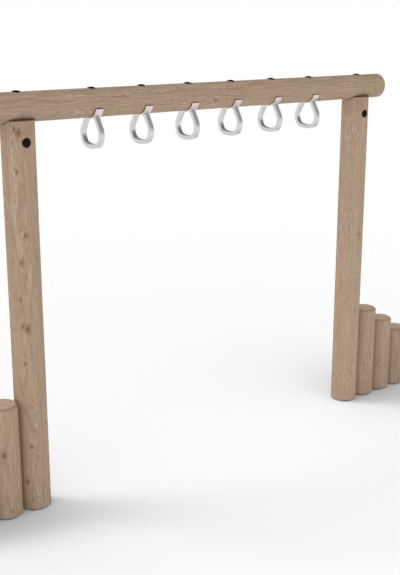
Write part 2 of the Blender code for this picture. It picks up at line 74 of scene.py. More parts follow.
class Wire:
    """One shader socket: arithmetic on it adds Math nodes, and node() adds every other kind."""

    def __init__(self, tree, socket=None):
        self.tree = tree
        self.socket = socket

    def node(self, kind, settings=None, sockets=None, output=0):
        """A new node's output. Settings are set first, then its sockets get values or links."""
        made = self.tree.nodes.new("ShaderNode" + kind)
        for setting, value in (settings or {}).items():
            if setting == "stops":
                ramp = made.color_ramp.elements
                for place, _ in value[1:-1]:
                    ramp.new(place)
                for stop, (place, colour) in zip(ramp, value):
                    stop.position = place
                    stop.color = colour
            else:
                setattr(made, setting, value)
        for name, value in (sockets or {}).items():
            if isinstance(value, Wire):
                self.tree.links.new(value.socket, made.inputs[name])
            else:
                made.inputs[name].default_value = value
        return Wire(self.tree, made.outputs[output])

    def out(self, name):
        """Another output of the same node."""
        return Wire(self.tree, self.socket.node.outputs[name])

    def into(self, socket):
        """Link this output to a socket of a shader or of an output node."""
        self.tree.links.new(self.socket, socket)

    def axes(self):
        """The three numbers of this vector."""
        x = self.node("SeparateXYZ", sockets={"Vector": self})
        return x, x.out("Y"), x.out("Z")

    def maths(self, operation, *others):
        """A Math node on this value and the others."""
        return self.node("Math", {"operation": operation}, dict(enumerate((self, *others))))

    def most(self, *others):
        """The largest of this value and the others."""
        largest = self
        for other in others:
            largest = largest.maths("MAXIMUM", other)
        return largest

    def fade(self, start, end, low=0.0, high=1.0):
        """This value's way from start to end, eased, as a number from low to high."""
        sockets = {"Value": self, "From Min": start, "From Max": end, "To Min": low, "To Max": high}
        return self.node("MapRange", {"interpolation_type": "SMOOTHSTEP"}, sockets)

    def mix(self, first, second):
        """A colour between two others: the first where this value is zero, the second at one."""
        return self.node("Mix", {"data_type": "RGBA"}, {0: self, 6: first, 7: second}, output=2)

    def tinted(self, tint):
        """This colour multiplied by another."""
        settings = {"data_type": "RGBA", "blend_type": "MULTIPLY"}
        return self.node("Mix", settings, {0: 1.0, 6: self, 7: tint}, output=2)

    def __add__(self, other):
        return self.maths("ADD", other)

    def __mul__(self, other):
        return self.maths("MULTIPLY", other)

    def __sub__(self, other):
        return self.maths("SUBTRACT", other)

    def __truediv__(self, other):
        return self.maths("DIVIDE", other)

    def __pow__(self, other):
        return self.maths("POWER", other)

    def __rsub__(self, other):
        return self.node("Math", {"operation": "SUBTRACT"}, {0: other, 1: self})

    def __abs__(self):
        return self.maths("ABSOLUTE")

    __radd__ = __add__
    __rmul__ = __mul__


def seen_rays(tree):
    """One for rays from the eye, mirrored or straight, and zero for the light in the room."""
    path = Wire(tree).node("LightPath", output="Is Camera Ray")
    return (path + path.out("Is Glossy Ray") + path.out("Is Transmission Ray")).maths("MINIMUM", 1.0)


def grey(level):
    """A plain grey, from zero for black to one for white, in a shader's linear numbers."""
    return (level, level, level, 1.0)


def meshed(name, form):
    """The mesh of a bmesh form, which is used up."""
    mesh = bpy.data.meshes.new(name)
    form.to_mesh(mesh)
    form.free()
    return mesh


def shown(name, data):
    """A new object with that mesh or curve, in the scene."""
    made = bpy.data.objects.new(name, data)
    bpy.context.scene.collection.objects.link(made)
    return made


def flat_sheet(name, breadth):
    """A flat square about the origin."""
    form = bmesh.new()
    bmesh.ops.create_grid(form, x_segments=1, y_segments=1, size=breadth / 2)
    return shown(name, meshed(name, form))


def studio_finish(name):
    """A material with an empty node tree, a wire to grow its nodes from, and the socket they end in."""
    material = bpy.data.materials.new(name)
    material.use_nodes = True
    nodes = material.node_tree.nodes
    nodes.remove(nodes["Principled BSDF"])
    return material, Wire(material.node_tree), nodes["Material Output"].inputs["Surface"]


floor = flat_sheet("studio_floor", FLOOR_BREADTH)
floor_paint, paint, surface = studio_finish("floor_paint")
coat = paint.node("BsdfDiffuse", sockets={"Color": grey(FLOOR_PAINT)})
place = paint.node("TexCoord", output="Object")
far = paint.node("VectorMath", {"operation": "LENGTH"}, {0: place}, "Value")
faded = far.fade(FLOOR_FADES_FROM, FLOOR_IS_WHITE_FROM) * seen_rays(paint.tree)
white = paint.node("Emission", sockets={"Color": grey(1.0)})
faded.node("MixShader", sockets={0: faded, 1: coat, 2: white}).into(surface)
floor.data.materials.append(floor_paint)


# The light
# A plain white room lights the frame, a little more from its left. A sky and a lamp of their own
# light the floor, and steel mirrors a grey ceiling.
ROOM_LIGHT = 0.84
ROOM_LEFT_SHARE = 0.22
BRIGHT_SIDE = radians(200)
FLOOR_LIGHT = (1 - FLOOR_PAINT * ROOM_LIGHT) / FLOOR_PAINT
SKY_AT_HORIZON = 4.03
SKY_DARKENS_UPWARDS = 0.94
SKY_LEFT_SHARE = 0.48
SKY_REACH = 300.0
SKY_FOOT = -0.01
SKY_FACETS = 24
LAMP_STRENGTH = 0.95
LAMP_BREADTH = radians(24)
LAMP_HEIGHT = radians(50)
LAMP_BEARING = radians(134)
CEILING_GREY = 0.40
CEILING_BREADTH = 60.0
CEILING_HEIGHT = 6.0


def towards(bearing, x, y):
    """How far a direction points to a bearing: from minus one to one."""
    return x * cos(bearing) + y * sin(bearing)


def hidden_from(piece, *rays):
    """Keep a studio piece out of some kinds of rays."""
    for ray in rays:
        setattr(piece, "visible_" + ray, False)


room = bpy.data.worlds.new("white_room")
room.use_nodes = True
bpy.context.scene.world = room
background = room.node_tree.nodes["Background"].inputs
seen = seen_rays(room.node_tree)
x, y, _ = seen.node("TexCoord", output="Generated").axes()
lit = (1 + towards(BRIGHT_SIDE, x, y) * ROOM_LEFT_SHARE) * ROOM_LIGHT
background["Color"].default_value = grey(1.0)
(lit + seen * (1 - lit)).into(background["Strength"])

floor_only = bpy.data.collections.new("floor_only")
floor_only.objects.link(floor)

sky_form = bmesh.new()
bmesh.ops.create_uvsphere(sky_form, u_segments=SKY_FACETS, v_segments=SKY_FACETS, radius=SKY_REACH)
below = [vertex for vertex in sky_form.verts if vertex.co.z < SKY_FOOT]
bmesh.ops.delete(sky_form, geom=below, context="VERTS")
sky = shown("floor_sky", meshed("floor_sky", sky_form))
sky_glow, glow, surface = studio_finish("floor_sky")
x, y, z = glow.node("TexCoord", output="Object").axes()
upwards = 1 - z * (SKY_DARKENS_UPWARDS / SKY_REACH)
leftwards = 1 + towards(BRIGHT_SIDE, x, y) * (SKY_LEFT_SHARE / SKY_REACH)
brightness = upwards * upwards * leftwards * (SKY_AT_HORIZON * FLOOR_LIGHT)
light = glow.node("Emission", sockets={"Color": brightness})
clear = glow.node("BsdfTransparent")
light.node("AddShader", sockets={0: light, 1: clear}).into(surface)
sky.data.materials.append(sky_glow)
hidden_from(sky, "camera", "glossy", "shadow", "transmission")

lamp = shown("floor_lamp", bpy.data.lights.new("floor_lamp", "SUN"))
lamp.data.energy = LAMP_STRENGTH * FLOOR_LIGHT
lamp.data.angle = LAMP_BREADTH
lamp.rotation_euler = (pi / 2 - LAMP_HEIGHT, 0, LAMP_BEARING + pi / 2)
for source in (sky, lamp):
    source.light_linking.receiver_collection = floor_only

ceiling = flat_sheet("grey_ceiling", CEILING_BREADTH)
ceiling.location.z = CEILING_HEIGHT
ceiling_grey, plaster, surface = studio_finish("ceiling_grey")
plaster.node("Emission", sockets={"Color": grey(CEILING_GREY)}).into(surface)
ceiling.data.materials.append(ceiling_grey)
hidden_from(ceiling, "camera", "diffuse", "shadow", "transmission")


# Posts
# Two machine-rounded pine posts, greyed by a year outdoors. Each foot is chamfered, and each top
# is coped to hold the beam, which a long bolt pulls down on a cross nut behind a black plug.
SIDES = {"left": -1, "right": 1}
TIMBER_FACETS = 96
TIMBER_RING_EVERY = 0.020
END_FACE_RINGS = (0, 0.25, 0.5, 0.75)
HOLLOW_DEPTH = 0.0004
HOLLOWS_AROUND = 1.6
HOLLOWS_TO_A_METRE = 4
HOLLOWS_REACH_IN_TO = 0.9
ARRIS_EASE = 0.0022
EASE_STEPS = 4
POST_FOOT_CHAMFER = 0.010
POST_TOP_CHAMFER = 0.002
COPE_GAP = 0.0003
COPE_RIM_EASE = 0.0022
HOLE_FACETS = 24
WIDE_HOLE_FACETS = 48
HOLE_OVERRUN = 0.020
FIT_GAP = 0.0003
BOLT_HOLE_RADIUS = 0.0063
BOLT_HOLE_BELOW_NUT = 0.021
CROSS_NUT_HOLE_RADIUS = 0.0123
CROSS_NUT_BELOW_BEAM = 0.085
CROSS_NUT_LENGTH = 0.048
COVER_RADIUS = 0.021
COVER_HOLE_RADIUS = COVER_RADIUS + 0.0005
PLUG_SEAT_DEPTH = 0.0035
PILOT_HOLE_RADIUS = 0.0053
PILOT_HOLE_DEPTH = 0.050
PILOT_HOLE_HEIGHT = 0.300
ON_AXIS = 1e-6
SOFT_ANGLE = radians(35)

# How the pine grew and how it weathers, and where shade and bounced light are painted on it.
# A pair holds the two ends of a fade or of a draw.
GROWTH_RING_WIDTH = 0.0042
GROWTH_RING_WANDER = 0.024
GROWTH_RING_JITTER = 0.0036
KNOT_SQUAT = 0.60
KNOT_RAGGED = 0.016
KNOT_RAGGED_SCALE = 75.0
KNOT_PULLS = 0.50
KNOT_PULLS_WITHIN = 3.0
KNOT_CORE_EDGE = (0.20, 0.70)
KNOT_HALO_EDGE = (0.4, 1.7)
SCATTERED_KNOT_SHARES = (0.05, 0.95)
SCATTERED_KNOT_SIZES = (0.005, 0.013)
CHECK_BREADTH = 0.016
# Painted bounce light: a warmer brown on a side that faces a neighbour, below its height.
BOUNCE_SIDE = (0.76, 0.98)
BOUNCE_FADES_WITHIN = 0.04
# Painted shade: how far it darkens the timber where a shade function marks it.
PAINTED_SHADE_DARKENS = 0.55
# Painted shade at a foot: the heights over which it fades out.
FOOT_SHADE = (0.001, 0.016)
# Painted shade on a post: on its top, in its cope, down from the beam, and round its plug.
TOP_SHADE = (0.0025, 0.0010)
BEAM_SHADOW_RUNS = (0.12, 0.03)
COPE_SHADE = (0.0030, 0.0055)
PLUG_SHADE_RING = (0.0008, 0.0038)


def painted(red, green, blue):
    """A colour given in 255 steps, as it shows on a screen, in a shader's linear numbers."""
    shares = [step / 255 for step in (red, green, blue)]
    return (*[s / 12.92 if s < 0.04 else ((s + 0.055) / 1.055) ** 2.4 for s in shares], 1.0)


PINE_FROM_PALE_TO_DARK = [
    (0.10, painted(200, 176, 153)),
    (0.38, painted(180, 155, 133)),
    (0.58, painted(163, 139, 117)),
    (0.80, painted(140, 116, 95)),
    (1.00, painted(112, 88, 69)),
]
PINE_LEANS_PINK = (1.02, 0.99, 1.0, 1)
PINE_LEANS_YELLOW = (0.99, 1.005, 0.96, 1)
# The brown of the pores, and of the painted shade on the chamfers.
PORE_AND_SHADE_BROWN = painted(118, 95, 76)
# The warm brown of painted bounce light.
PAINTED_BOUNCE_BROWN = painted(176, 146, 119)
KNOT_HALO_BROWN = painted(128, 100, 74)
KNOT_CORE_BROWN = painted(104, 78, 57)
SAWN_END_PALE = painted(214, 188, 164)
SAWN_END_RINGS = painted(145, 120, 98)
CHECK_BROWN = painted(95, 74, 58)
# The brown of painted shade.
PAINTED_SHADE_BROWN = painted(88, 54, 30)


def finish_named(name):
    """A new material, a wire to grow its nodes from, and the sockets of its shader."""
    material = bpy.data.materials.new(name)
    material.use_nodes = True
    return material, Wire(material.node_tree), material.node_tree.nodes["Principled BSDF"].inputs


def timber_grain(place, across, along, seed, detail=2.0):
    """Noise drawn out along a timber: so many features to a metre across the grain and along it."""
    scale = {"Vector": place, "Location": (seed, seed, seed), "Scale": (across, across, along)}
    drawn_out = place.node("Mapping", sockets=scale)
    return place.node("TexNoise", sockets={"Vector": drawn_out, "Scale": 1.0, "Detail": detail})


def knot_marks(place, knots):
    """How far knots pull the growth rings round them, and where their cores and their halos are."""
    noisy = {"Vector": place, "Scale": KNOT_RAGGED_SCALE, "Detail": 2.0}
    ragged = place.node("TexNoise", sockets=noisy, output="Color")
    torn = place.node("VectorMath", {"operation": "SCALE"}, {0: ragged, "Scale": KNOT_RAGGED})
    moved = place.node("VectorMath", {"operation": "ADD"}, {0: place, 1: torn})
    squat = place.node("VectorMath", {"operation": "MULTIPLY"}, {0: moved, 1: (1, 1, KNOT_SQUAT)})
    pulls, cores, halos = [], [], []
    for knot, size in knots:
        # The noise is a half on average, so a knot's middle is moved by half of what it adds.
        centre = [side + KNOT_RAGGED / 2 for side in knot]
        centre[2] *= KNOT_SQUAT
        away = squat.node("VectorMath", {"operation": "DISTANCE"}, {0: squat, 1: centre}, "Value")
        pulls.append(away.fade(0, size * KNOT_PULLS_WITHIN, size * KNOT_PULLS, 0))
        cores.append(away.fade(size * KNOT_CORE_EDGE[0], size * KNOT_CORE_EDGE[1], 1, 0))
        halos.append(away.fade(size * KNOT_HALO_EDGE[0], size * KNOT_HALO_EDGE[1], 1, 0))
    return sum(pulls), cores[0].most(*cores[1:]), halos[0].most(*halos[1:])


def growth_rings(place, from_heart, pull, seed):
    """The dark latewood of the growth rings, which wander a little and bend round the knots."""
    wander = timber_grain(place, 9, 2.0, seed, detail=3) - 0.5
    fine_wander = timber_grain(place, 34, 7, seed + 5) - 0.5
    shift = wander * GROWTH_RING_WANDER + fine_wander * GROWTH_RING_JITTER
    phase = ((from_heart + shift + pull) / GROWTH_RING_WIDTH).maths("FRACT")
    return phase.fade(0.20, 0.80) * phase.fade(0.86, 1.0, 1, 0)


def drying_checks(off_x, off_y, from_heart, seed):
    """The fine cracks that run out from the heart as a sawn end dries."""
    spokes = {"X": off_y.maths("ARCTAN2", off_x) * 5.0, "Y": from_heart * 9, "Z": seed}
    fan = from_heart.node("CombineXYZ", sockets=spokes)
    rays = fan.node("TexNoise", sockets={"Vector": fan, "Scale": 1.0, "Detail": 3.0})
    return abs(rays - 0.5).fade(0.0, CHECK_BREADTH, 1, 0)


def timber_finish(name, heart, knots, seed, painted_shade, bounce_sides=(), shade=0.09, end_pale_and_shade=0.70):
    """Greyed pine cut from a larger stem, whose heart lies beside the timber's own axis.

    The growth rings are solid, so a face across the grain shows their arcs and a round side shows
    the same rings as stripes and flames. A knot pulls the rings round it. The sides given with a
    height face a neighbour, and below that height they are painted a warmer brown: painted bounce
    light. A function of the place gives painted shade, and the chamfers get painted shade too. The
    shade number darkens the whole timber evenly, and the end number is how far its sawn ends have
    bleached, less painted shade where it is set lower.
    """
    material, wood, shader = finish_named(name)
    place = wood.node("TexCoord", output="Object")
    x, y, z = place.axes()
    off_x = x - heart[0]
    off_y = y - heart[1]
    from_heart = (off_x * off_x + off_y * off_y) ** 0.5

    pull, core, halo = knot_marks(place, knots)
    latewood = growth_rings(place, from_heart, pull, seed)
    bands = timber_grain(place, 26, 1.3, seed + 11)
    fibres = timber_grain(place, 230, 7, seed + 17)
    pores = timber_grain(place, 420, 60, seed + 23, detail=1)
    strokes = timber_grain(place, 210, 34, seed + 29)
    figured = timber_grain(place, 22, 3, seed + 37, detail=1).fade(0.48, 0.60)
    hue = timber_grain(place, 24, 2.4, seed + 31, detail=1).fade(0.34, 0.66)

    tone = bands * 0.28 + fibres * 0.46 + latewood * 0.13 + halo * 0.18 + shade - 0.04
    tone = tone + (0.5 - strokes) * (figured * 0.80 + 0.35)
    colour = tone.node("ValToRGB", {"stops": PINE_FROM_PALE_TO_DARK}, {"Fac": tone})
    colour = colour.tinted(hue.mix(PINE_LEANS_PINK, PINE_LEANS_YELLOW))
    colour = (pores.fade(0.64, 0.80) * 0.20).mix(colour, PORE_AND_SHADE_BROWN)
    # Painted bounce light: a warmer brown low on each side that faces a neighbour.
    for sideways, height in bounce_sides:
        bounce = (x * (sideways / post_radius)).fade(*BOUNCE_SIDE)
        bounce = bounce * z.fade(height - BOUNCE_FADES_WITHIN, height, 0.90, 0)
        colour = bounce.mix(colour, PAINTED_BOUNCE_BROWN)
    colour = (halo * 0.32).mix(colour, KNOT_HALO_BROWN)
    colour = (core * 0.65).mix(colour, KNOT_CORE_BROWN)

    _, _, end_on = wood.node("TexCoord", output="Normal").axes()
    endwise = abs(end_on)
    end_grain = endwise.fade(0.75, 0.92)
    # Painted shade on the chamfers, which lie between side and end.
    chamfer_shade = endwise.fade(0.20, 0.55) - end_grain
    checks = drying_checks(off_x, off_y, from_heart, seed) * end_grain
    colour = (chamfer_shade * 0.28).mix(colour, PORE_AND_SHADE_BROWN)
    # Sawn ends bleach pale; a lower paleness, as on the right-hand logs, is painted shade.
    colour = (end_grain * end_pale_and_shade).mix(colour, SAWN_END_PALE)
    colour = (latewood * end_grain * 0.30).mix(colour, SAWN_END_RINGS)
    colour = (checks * 0.55).mix(colour, CHECK_BROWN)
    # Painted shade: the given function marks where shade falls, and the colour darkens to a brown there.
    colour = (painted_shade(x, y, z) * 0.90).mix(colour, PAINTED_SHADE_BROWN)
    colour.into(shader["Base Color"])

    shader["Specular IOR Level"].default_value = 0.35
    (0.64 + fibres * 0.20 + end_grain * 0.10 - core * 0.10).into(shader["Roughness"])
    relief = fibres * 0.6 + latewood * 0.35 - pores * 0.25 - checks * 1.2 + core * 0.4
    bump = relief.node("Bump", sockets={"Height": relief, "Strength": 0.45, "Distance": 0.0006})
    bump.into(shader["Normal"])
    return material


def knots_on(radius, places):
    """Knots on a timber's side, as centres and sizes, from each one's height, bearing and size."""
    knots = []
    for height, bearing, size in places:
        angle = radians(bearing)
        knots.append(((radius * cos(angle), radius * sin(angle), height), size))
    return knots


def scattered_knots(radius, length, count, seed):
    """Knots that nobody placed, in a fixed order for each timber."""
    draw = Random(seed)
    places = []
    for _ in range(count):
        height = draw.uniform(*SCATTERED_KNOT_SHARES) * length
        places.append((height, draw.uniform(0, 360), draw.uniform(*SCATTERED_KNOT_SIZES)))
    return knots_on(radius, places)


def eased(corners, ease):
    """A profile whose inner corners are rounded, each from ease before it to ease after it."""
    points = [Vector(corners[0])]
    for before, corner, after in zip(corners, corners[1:], corners[2:]):
        before, corner, after = Vector(before), Vector(corner), Vector(after)
        start = corner + (before - corner).normalized() * ease
        end = corner + (after - corner).normalized() * ease
        for step in range(EASE_STEPS + 1):
            share = step / EASE_STEPS
            points.append(start.lerp(corner, share).lerp(corner.lerp(end, share), share))
    return points + [Vector(corners[-1])]


def lathed(name, profile, facets):
    """A mesh turned about local Z from (radius, height) points that run from its foot to its top."""
    form = bmesh.new()
    rows = []
    for radius, height in profile:
        count = facets if radius > ON_AXIS else 1
        turns = [tau * index / facets for index in range(count)]
        rows.append([form.verts.new((radius * cos(t), radius * sin(t), height)) for t in turns])
    for low, high in zip(rows, rows[1:]):
        for index in range(facets):
            after = (index + 1) % facets
            corners = [low[index % len(low)], low[after % len(low)]]
            corners += [high[after % len(high)], high[index % len(high)]]
            form.faces.new(dict.fromkeys(corners))
    return meshed(name, form)


def round_timber(name, radius, length, foot_chamfer, top_chamfer, seed):
    """A rounded timber along local Z from zero: chamfered, eased at its arrises and a little uneven."""
    *inner, rim = [radius * share for share in END_FACE_RINGS]
    corners = [(rim, 0), (radius - foot_chamfer, 0), (radius, foot_chamfer)]
    corners += [(radius, length - top_chamfer), (radius - top_chamfer, length), (rim, length)]
    outline = eased(corners, min(ARRIS_EASE, foot_chamfer * 0.5, top_chamfer * 0.5))
    middle = len(outline) // 2
    low, high = outline[middle - 1].y, outline[middle].y
    steps = round((high - low) / TIMBER_RING_EVERY)
    side = [(radius, low + (high - low) * step / steps) for step in range(1, steps)]
    profile = [(r, 0) for r in inner] + [tuple(p) for p in outline[:middle]] + side
    profile += [tuple(p) for p in outline[middle:]] + [(r, length) for r in reversed(inner)]
    mesh = lathed(name, profile, TIMBER_FACETS)
    for vertex in mesh.vertices:
        reach = hypot(vertex.co.x, vertex.co.y)
        if reach > radius * HOLLOWS_REACH_IN_TO:
            turn_x = vertex.co.x / reach * HOLLOWS_AROUND
            turn_y = vertex.co.y / reach * HOLLOWS_AROUND
            height = vertex.co.z * HOLLOWS_TO_A_METRE + seed
            hollow = HOLLOW_DEPTH * (0.5 + 0.5 * noise.noise(Vector((turn_x, turn_y, height))))
            vertex.co.x *= 1 - hollow / reach
            vertex.co.y *= 1 - hollow / reach
    return shown(name, mesh)


def stepped_hole(name, steps, facets=HOLE_FACETS):
    """A cutter along local Z: each step is a radius and the heights where it starts and ends."""
    profile = [(0, steps[0][1])]
    for radius, start, end in steps:
        profile += [(radius, start), (radius, end)]
    profile.append((0, steps[-1][2]))
    return shown(name, lathed(name, profile, facets))


def carved(piece, cutters, operation="DIFFERENCE"):
    """Cut the cutters out of a piece, or join them to it, for good; the cutters are used up."""
    for cutter in cutters:
        boolean = piece.modifiers.new(cutter.name, "BOOLEAN")
        boolean.operation = operation
        boolean.object = cutter
    bpy.context.view_layer.update()
    graph = bpy.context.evaluated_depsgraph_get()
    mesh = bpy.data.meshes.new_from_object(piece.evaluated_get(graph))
    piece.modifiers.clear()
    piece.data = mesh
    for cutter in cutters:
        bpy.data.objects.remove(cutter)
    return piece


def finished(piece, material):
    """Give a piece, or a CAD node that stays, its one material."""
    piece.data.materials.clear()
    piece.data.materials.append(material)


def dressed(piece, material, slot, *nodes):
    """Shade a piece, give it its finish and set it in the frame in place of the CAD nodes."""
    finished(piece, material)
    piece.data.shade_smooth()
    piece.data.set_sharp_from_angle(angle=SOFT_ANGLE)
    piece.modifiers.new("even_normals", "WEIGHTED_NORMAL").keep_sharp = True
    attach(piece, "root")
    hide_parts(*nodes)
    return piece


beam_low, beam_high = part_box("beam")
beam_radius = (beam_high.y - beam_low.y) / 2
beam_height = (beam_high.z + beam_low.z) / 2
post_low, post_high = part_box("post_left")
post_radius = (post_high.x - post_low.x) / 2
post_places = {side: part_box(f"post_{side}")[0].x + post_radius for side in SIDES}
cross_nut_height = beam_height - beam_radius - CROSS_NUT_BELOW_BEAM

left_post_knots = [
    (1.897, -131, 0.009),
    (1.880, -117, 0.013),
    (1.703, -128, 0.008),
    (1.408, -106, 0.011),
    (1.277, -126, 0.010),
    (1.099, -136, 0.009),
    (0.966, -133, 0.009),
    (0.955, -116, 0.015),
    (0.783, -129, 0.008),
    (0.349, -122, 0.008),
    (0.162, -142, 0.010),
    (1.560, 40, 0.012),
    (0.640, 75, 0.010),
]
right_post_knots = [
    (1.095, -94, 0.006),
    (1.480, 20, 0.010),
    (1.020, -5, 0.008),
    (0.620, 65, 0.011),
]
post_hearts = {"left": (0.020, 0.026), "right": (0.018, -0.030)}
post_knots = {"left": left_post_knots, "right": right_post_knots}
post_seeds = {"left": 3.0, "right": 41.0}
post_shades = {"left": 0.09, "right": 0.04}


def foot_shade(z):
    """How much painted shade darkens the foot of a timber, where it meets the floor."""
    return z.fade(*FOOT_SHADE, 0.9, 0)


def post_painted_shade(x, y, z):
    """Painted shade on a post: its top, its cope, below the beam, its foot and round its plug."""
    below_beam = z - beam_height
    from_beam = (y * y + below_beam * below_beam) ** 0.5 - beam_radius
    # Painted shade in the cope and on the post's top, where the beam shades it.
    in_cope = from_beam.fade(*COPE_SHADE, 1, 0)
    on_top = z.fade(post_high.z - TOP_SHADE[0], post_high.z - TOP_SHADE[1])
    # A painted shadow of the beam, fading down below the post's top.
    beam_shadow = z.fade(post_high.z - BEAM_SHADOW_RUNS[0], post_high.z - BEAM_SHADOW_RUNS[1], 0, 0.14)
    shaded = on_top.most(in_cope, foot_shade(z))
    up = z - cross_nut_height
    from_plug = (x * x + up * up) ** 0.5
    # Painted shade in a ring round the plug's pocket.
    ring = from_plug.fade(COVER_HOLE_RADIUS + PLUG_SHADE_RING[0], COVER_HOLE_RADIUS + PLUG_SHADE_RING[1], 1, 0)
    in_front = y.maths("LESS_THAN", 0.0)
    return (shaded * PAINTED_SHADE_DARKENS).most(ring * in_front, beam_shadow)


def beam_shape(name, radius):
    """A plain round bar in the beam's place, to cut what hugs it."""
    reach = beam_high.x + HOLE_OVERRUN
    bar = stepped_hole(name, [(radius, -reach, reach)], TIMBER_FACETS)
    bar.location.z = beam_height
    bar.rotation_euler.y = pi / 2
    return bar


def post_cutters(place, outwards):
    """What is cut out of a post: its cope, the cope's eased rim, and the holes for its hardware."""
    cope = beam_shape("cope", beam_radius + COPE_GAP)
    rim = beam_shape("cope_rim", beam_radius + COPE_GAP + COPE_RIM_EASE)
    core = stepped_hole("core", [(post_radius - COPE_RIM_EASE, 0, beam_high.z)], TIMBER_FACETS)
    core.location.x = place
    carved(rim, [core])
    bolt_hole_foot = cross_nut_height - BOLT_HOLE_BELOW_NUT
    bolt_hole = stepped_hole("bolt_hole", [(BOLT_HOLE_RADIUS, bolt_hole_foot, beam_height)])
    bolt_hole.location.x = place
    nut_hole_end = post_radius - PLUG_SEAT_DEPTH
    nut_hole_steps = [
        (CROSS_NUT_HOLE_RADIUS, -CROSS_NUT_LENGTH / 2 - FIT_GAP, nut_hole_end),
        (COVER_HOLE_RADIUS, nut_hole_end, post_radius + HOLE_OVERRUN),
    ]
    nut_hole = stepped_hole("nut_hole", nut_hole_steps, WIDE_HOLE_FACETS)
    nut_hole.location = (place, 0, cross_nut_height)
    nut_hole.rotation_euler.x = pi / 2
    pilot_hole_steps = [
        (PILOT_HOLE_RADIUS, post_radius - PILOT_HOLE_DEPTH, post_radius + HOLE_OVERRUN),
    ]
    pilot_hole = stepped_hole("pilot_hole", pilot_hole_steps)
    pilot_hole.location = (place, 0, PILOT_HOLE_HEIGHT)
    pilot_hole.rotation_euler.y = outwards * pi / 2
    return [cope, rim, bolt_hole, nut_hole, pilot_hole]


for side, outwards in SIDES.items():
    post = round_timber(
        f"post_{side}_timber",
        post_radius,
        post_high.z,
        POST_FOOT_CHAMFER,
        POST_TOP_CHAMFER,
        post_seeds[side],
    )
    post.location.x = post_places[side]
    carved(post, post_cutters(post_places[side], outwards))
    wood = timber_finish(
        f"pine_post_{side}",
        post_hearts[side],
        knots_on(post_radius, post_knots[side]),
        post_seeds[side],
        post_painted_shade,
        [(outwards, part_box(f"step_log_{side}_1")[1].z)],
        post_shades[side],
    )
    dressed(post, wood, "timber", f"post_{side}")


# Beam
# One machine-rounded pine log that lies in the copes of both posts. A stepped hole goes down
# through it over each ring and each post, wide at the top for a bolt's cup and cover.
BEAM_END_CHAMFER = 0.016
BEAM_HEART = (0.030, 0.022)
BEAM_SEED = 77.0
BEAM_SHADE = 0.125
COVER_SEAT_DEPTH = 0.004
CUP_HOLE_RADIUS = 0.0155
CUP_HOLE_DEPTH = 0.0228
BOSS_HOLE_RADIUS = 0.0115
BOSS_HOLE_HEIGHT = 0.0303
STRAP_WIDTH = 0.044
STRAP_HALF_ANGLE = radians(69)
# Painted shade: a dark line round each strap, and under the beam over each post.
STRAP_SHADE = (0.0005, 0.0055)
POST_SHADE_EDGE = (-0.001, 0.007)
UNDERSIDE_SHADE = (0.036, 0.058)

ring_numbers = range(1, 7)
ring_places = [sum(corner.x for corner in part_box(f"hand_ring_{number}")) / 2 for number in ring_numbers]
beam_knots = [
    (0.62, -60, 0.006),
    (1.34, -75, 0.007),
    (0.41, 95, 0.010),
    (1.90, 120, 0.012),
    (2.38, 60, 0.009),
]


def beam_station(place, has_boss):
    """The cutter for one stepped hole through the beam."""
    top = beam_radius
    foot = -beam_radius - HOLE_OVERRUN
    boss_end = -beam_radius + BOSS_HOLE_HEIGHT
    steps = [
        (BOLT_HOLE_RADIUS, boss_end if has_boss else foot, top - CUP_HOLE_DEPTH),
        (CUP_HOLE_RADIUS, top - CUP_HOLE_DEPTH, top - COVER_SEAT_DEPTH),
        (COVER_HOLE_RADIUS, top - COVER_SEAT_DEPTH, top + HOLE_OVERRUN),
    ]
    if has_boss:
        steps.insert(0, (BOSS_HOLE_RADIUS, foot, boss_end))
    hole = stepped_hole("beam_station", steps, WIDE_HOLE_FACETS)
    hole.location = (place, 0, beam_height)
    return hole


def beam_painted_shade(x, y, z):
    """Painted shade on the beam: a dark line round each strap, and on its underside over the posts.

    The beam's own Z runs along it from its left end, and its own X points down.
    """
    middle = (ring_places[0] + ring_places[-1]) / 2 - beam_low.x
    pitch = (ring_places[-1] - ring_places[0]) / (len(ring_places) - 1)
    along = z - middle
    from_ring = (along + pitch / 2).maths("PINGPONG", pitch / 2)
    sideways = from_ring - STRAP_WIDTH / 2
    round_beam = (abs(y.maths("ARCTAN2", x)) - STRAP_HALF_ANGLE) * beam_radius
    near_straps = abs(along).maths("LESS_THAN", ring_places[-1] + STRAP_WIDTH)
    shade_round_straps = sideways.most(round_beam).fade(*STRAP_SHADE, 1, 0) * near_straps
    from_post = abs(along) - post_places["right"]
    post_reach = (from_post * from_post + y * y) ** 0.5
    shade_edge = [post_radius + past for past in POST_SHADE_EDGE]
    shade_over_posts = post_reach.fade(*shade_edge, 0.7, 0) * x.fade(*UNDERSIDE_SHADE)
    return shade_round_straps.most(shade_over_posts)


beam = round_timber(
    "beam_timber",
    beam_radius,
    beam_high.x - beam_low.x,
    BEAM_END_CHAMFER,
    BEAM_END_CHAMFER,
    BEAM_SEED,
)
beam.location = (beam_low.x, 0, beam_height)
beam.rotation_euler.y = pi / 2
stations = [beam_station(place, True) for place in ring_places]
stations += [beam_station(place, False) for place in post_places.values()]
carved(beam, stations)
beam_wood = timber_finish(
    "pine_beam",
    BEAM_HEART,
    knots_on(beam_radius, beam_knots),
    BEAM_SEED,
    beam_painted_shade,
    shade=BEAM_SHADE,
)
dressed(beam, beam_wood, "timber", "beam")


